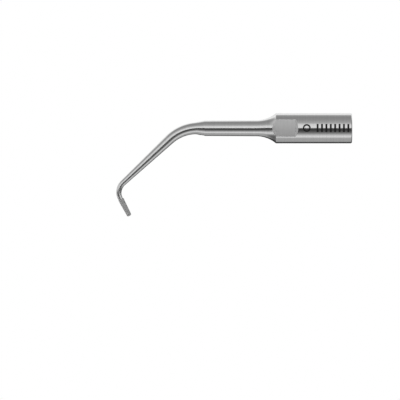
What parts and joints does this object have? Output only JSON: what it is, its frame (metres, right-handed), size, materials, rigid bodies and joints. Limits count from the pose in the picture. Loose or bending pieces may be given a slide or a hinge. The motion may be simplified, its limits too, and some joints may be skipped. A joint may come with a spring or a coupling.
{
  "type": "ultrasonic dental tip",
  "caption": "Diamond-coated ultrasonic tip for root-end surgery: a threaded hub with wrench flats, a flared neck, a slim drilled shank and a tapered bent arm ending in a short abrasive hook.",
  "frame": {"origin": "centre of the hub's rear seat face, at the mouth of the threaded socket", "axes": "+X along the hub's axis, out of the socket towards the handpiece; the tip points along -X and its arm hooks down towards -Z; the wrench flats face +Y and -Y"},
  "size_m": [0.0327, 0.0042, 0.0143],
  "materials": {
    "turned_steel": "stainless steel, turned and polished, with fine turning lines; the wrench flats are milled satin",
    "nickel_plate": "electroplated nickel, dull and slightly warm",
    "diamond_grit": "fine diamond grains, matte grey with small glints"
  },
  "bodies": {
    "root": {"threaded_hub": "turned_steel", "flared_neck": "turned_steel", "drilled_shank": "turned_steel", "bent_arm": "turned_steel", "nickel_bond": "nickel_plate", "diamond_grit": "diamond_grit"}
  },
  "joints": []
}
